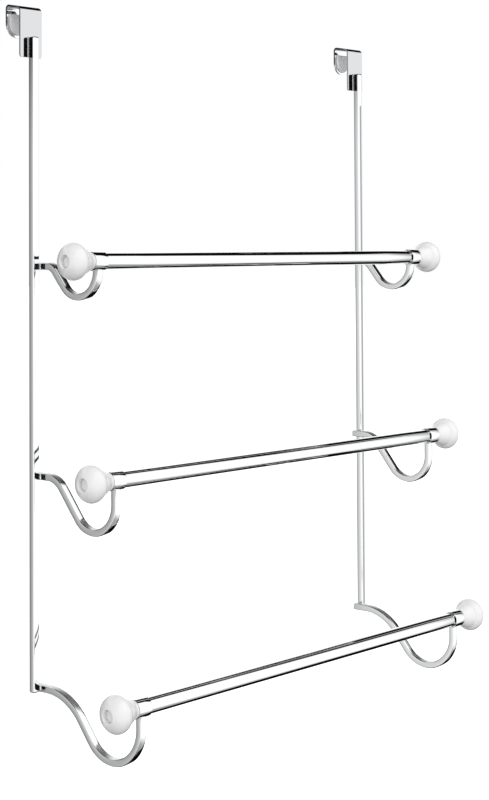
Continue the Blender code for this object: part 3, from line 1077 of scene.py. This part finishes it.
class RackFinish(bpy.types.PropertyGroup):
    """Colours and gloss of the rack's materials."""

    chrome_colour: FloatVectorProperty(
        name="Chrome", description="Colour of the chrome plate", subtype="COLOR",
        default=(0.93, 0.94, 0.95), min=0, max=1,
    )
    chrome_roughness: FloatProperty(
        name="Chrome roughness", description="Lowest roughness of the chrome plate",
        default=0.025, min=0, max=1, subtype="FACTOR",
    )
    bent_roughness: FloatProperty(
        name="Bent rod roughness", description="Lowest roughness of the arms' chrome",
        default=0.10, min=0, max=1, subtype="FACTOR",
    )
    stretched_roughness: FloatProperty(
        name="Stretched roughness", description="Roughness added where bending stretched the arms",
        default=0.30, min=0, max=1, subtype="FACTOR",
    )
    # Painted shade: the darker colour of the outside of the hooks' legs, standing in for a greyer
    # reflection.
    leg_shade_colour: FloatVectorProperty(
        name="Strip chrome", description="Colour of the hooks' duller chrome", subtype="COLOR",
        default=(0.68, 0.685, 0.70), min=0, max=1,
    )
    # Painted shade: the dark colour given to the hooks' sheared edges.
    sheared_edge_shade: FloatVectorProperty(
        name="Sheared edges", description="Colour of the hooks' sheared edges", subtype="COLOR",
        default=(0.10, 0.10, 0.11), min=0, max=1,
    )
    zinc_colour: FloatVectorProperty(
        name="Zinc", description="Colour of the screws and inserts", subtype="COLOR",
        default=(0.62, 0.61, 0.58), min=0, max=1,
    )
    glaze_colour: FloatVectorProperty(
        name="Glaze", description="Colour of the knobs", subtype="COLOR",
        default=(0.86, 0.86, 0.87), min=0, max=1,
    )
    glaze_roughness: FloatProperty(
        name="Glaze roughness", description="Lowest roughness of the knobs",
        default=0.12, min=0, max=1, subtype="FACTOR",
    )
    foam_colour: FloatVectorProperty(
        name="Foam", description="Colour of the hooks' pads", subtype="COLOR",
        default=(0.93, 0.93, 0.94), min=0, max=1,
    )


class RackStudio(bpy.types.PropertyGroup):
    """Camera, floor and light."""

    camera_place: FloatVectorProperty(
        name="Camera place", description="Where the camera stands", subtype="TRANSLATION",
        unit="LENGTH", default=(-1.4854, -1.3545, -0.2433),
    )
    camera_azimuth: FloatProperty(
        name="Camera azimuth", description="Turn of the camera from looking along +Y",
        subtype="ANGLE", default=math.radians(-48.986),
    )
    camera_pitch: FloatProperty(
        name="Camera pitch", description="Tilt of the camera above level", subtype="ANGLE",
        default=math.radians(2.0),
    )
    camera_roll: FloatProperty(
        name="Camera roll", description="Lean of the camera about its own axis",
        subtype="ANGLE", default=math.radians(-0.30),
    )
    lens: FloatProperty(
        name="Lens", description="Focal length in millimetres", default=79.97, min=10, max=300,
    )
    sensor: FloatProperty(
        name="Sensor", description="Long side of the sensor in millimetres",
        default=36.0, min=5, max=100,
    )
    camera_shift: FloatProperty(
        name="Camera shift", description="Rise of the lens, as a share of the long side",
        default=-0.2686, min=-1, max=1,
    )
    floor_height: FloatProperty(
        name="Floor height", description="Height of the floor below the door's top",
        default=-2.0, max=-0.8, unit="LENGTH",
    )
    floor_reach: FloatProperty(
        name="Floor reach", description="Half the width of the floor",
        default=60.0, min=1, unit="LENGTH",
    )
    floor_colour: FloatVectorProperty(
        name="Floor", description="Colour of the floor", subtype="COLOR",
        default=(0.93, 0.93, 0.93), min=0, max=1,
    )
    reflection_strength: FloatProperty(
        name="Reflections", description="Brightness of the room in polished metal",
        default=1.12, min=0, max=4,
    )
    fill_strength: FloatProperty(
        name="Fill light", description="Brightness of the room as a light",
        default=1.06, min=0, max=4,
    )
    key_power: FloatProperty(
        name="Key light", description="Power of the main softbox in watts",
        default=30.0, min=0, max=1000,
    )
    side_power: FloatProperty(
        name="Side light", description="Power of the right-hand softbox in watts",
        default=20.0, min=0, max=1000,
    )


# ---- operators -----------------------------------------------------------------------------
class RackOperator:
    """What the rack's operators share."""

    bl_options = {"REGISTER", "UNDO"}


class RACK_OT_uprights(RackOperator, bpy.types.Operator):
    """Build the two square uprights"""

    bl_idname = "rack.uprights"
    bl_label = "Uprights"

    def execute(self, context):
        build_uprights()
        return {"FINISHED"}


class RACK_OT_hooks(RackOperator, bpy.types.Operator):
    """Build the two bent strips that hang on the door"""

    bl_idname = "rack.hooks"
    bl_label = "Hooks"

    def execute(self, context):
        build_hooks()
        return {"FINISHED"}


class RACK_OT_pads(RackOperator, bpy.types.Operator):
    """Build the foam pads inside the hooks"""

    bl_idname = "rack.pads"
    bl_label = "Hook pads"

    def execute(self, context):
        build_pads()
        return {"FINISHED"}


class RACK_OT_arms(RackOperator, bpy.types.Operator):
    """Build the six curved arms"""

    bl_idname = "rack.arms"
    bl_label = "Arms"

    def execute(self, context):
        build_arms()
        return {"FINISHED"}


class RACK_OT_bars(RackOperator, bpy.types.Operator):
    """Build the three towel bars"""

    bl_idname = "rack.bars"
    bl_label = "Towel bars"

    def execute(self, context):
        build_bars()
        return {"FINISHED"}


class RACK_OT_collars(RackOperator, bpy.types.Operator):
    """Build the six collars on the arms' tips"""

    bl_idname = "rack.collars"
    bl_label = "Collars"

    def execute(self, context):
        build_collars()
        return {"FINISHED"}


class RACK_OT_knobs(RackOperator, bpy.types.Operator):
    """Build the six white knobs and their caps"""

    bl_idname = "rack.knobs"
    bl_label = "Knobs and caps"

    def execute(self, context):
        build_knobs()
        return {"FINISHED"}


class RACK_OT_screws(RackOperator, bpy.types.Operator):
    """Finish the studs and threaded inserts"""

    bl_idname = "rack.screws"
    bl_label = "Studs and inserts"

    def execute(self, context):
        build_screws()
        return {"FINISHED"}


class RACK_OT_stage(RackOperator, bpy.types.Operator):
    """Set up the floor, light and camera"""

    bl_idname = "rack.stage"
    bl_label = "Studio"

    def execute(self, context):
        build_stage()
        return {"FINISHED"}


OPERATORS = (
    RACK_OT_uprights,
    RACK_OT_hooks,
    RACK_OT_pads,
    RACK_OT_arms,
    RACK_OT_bars,
    RACK_OT_collars,
    RACK_OT_knobs,
    RACK_OT_screws,
    RACK_OT_stage,
)


class RACK_PT_sidebar(bpy.types.Panel):
    """Lists the rack's operators and settings"""

    bl_idname = "RACK_PT_sidebar"
    bl_label = "Towel rack"
    bl_space_type = "VIEW_3D"
    bl_region_type = "UI"
    bl_category = "Towel rack"

    def draw(self, context):
        for operator in OPERATORS:
            self.layout.operator(operator.bl_idname)
        for name in SETTINGS:
            group = getattr(context.scene, name)
            box = self.layout.box()
            for prop in group.bl_rna.properties:
                if prop.identifier not in ("name", "rna_type"):
                    box.prop(group, prop.identifier)


SETTINGS = {"rack_shape": RackShape, "rack_finish": RackFinish, "rack_studio": RackStudio}
CLASSES = (*SETTINGS.values(), *OPERATORS, RACK_PT_sidebar)


def register():
    for cls in CLASSES:
        bpy.utils.register_class(cls)
    for name, group in SETTINGS.items():
        setattr(bpy.types.Scene, name, PointerProperty(type=group))


def unregister():
    for name in SETTINGS:
        delattr(bpy.types.Scene, name)
    for cls in reversed(CLASSES):
        bpy.utils.unregister_class(cls)


def main():
    register()
    for operator in OPERATORS:
        group, name = operator.bl_idname.split(".")
        getattr(getattr(bpy.ops, group), name)()
    bpy.context.view_layer.update()


if __name__ == "__main__":
    main()
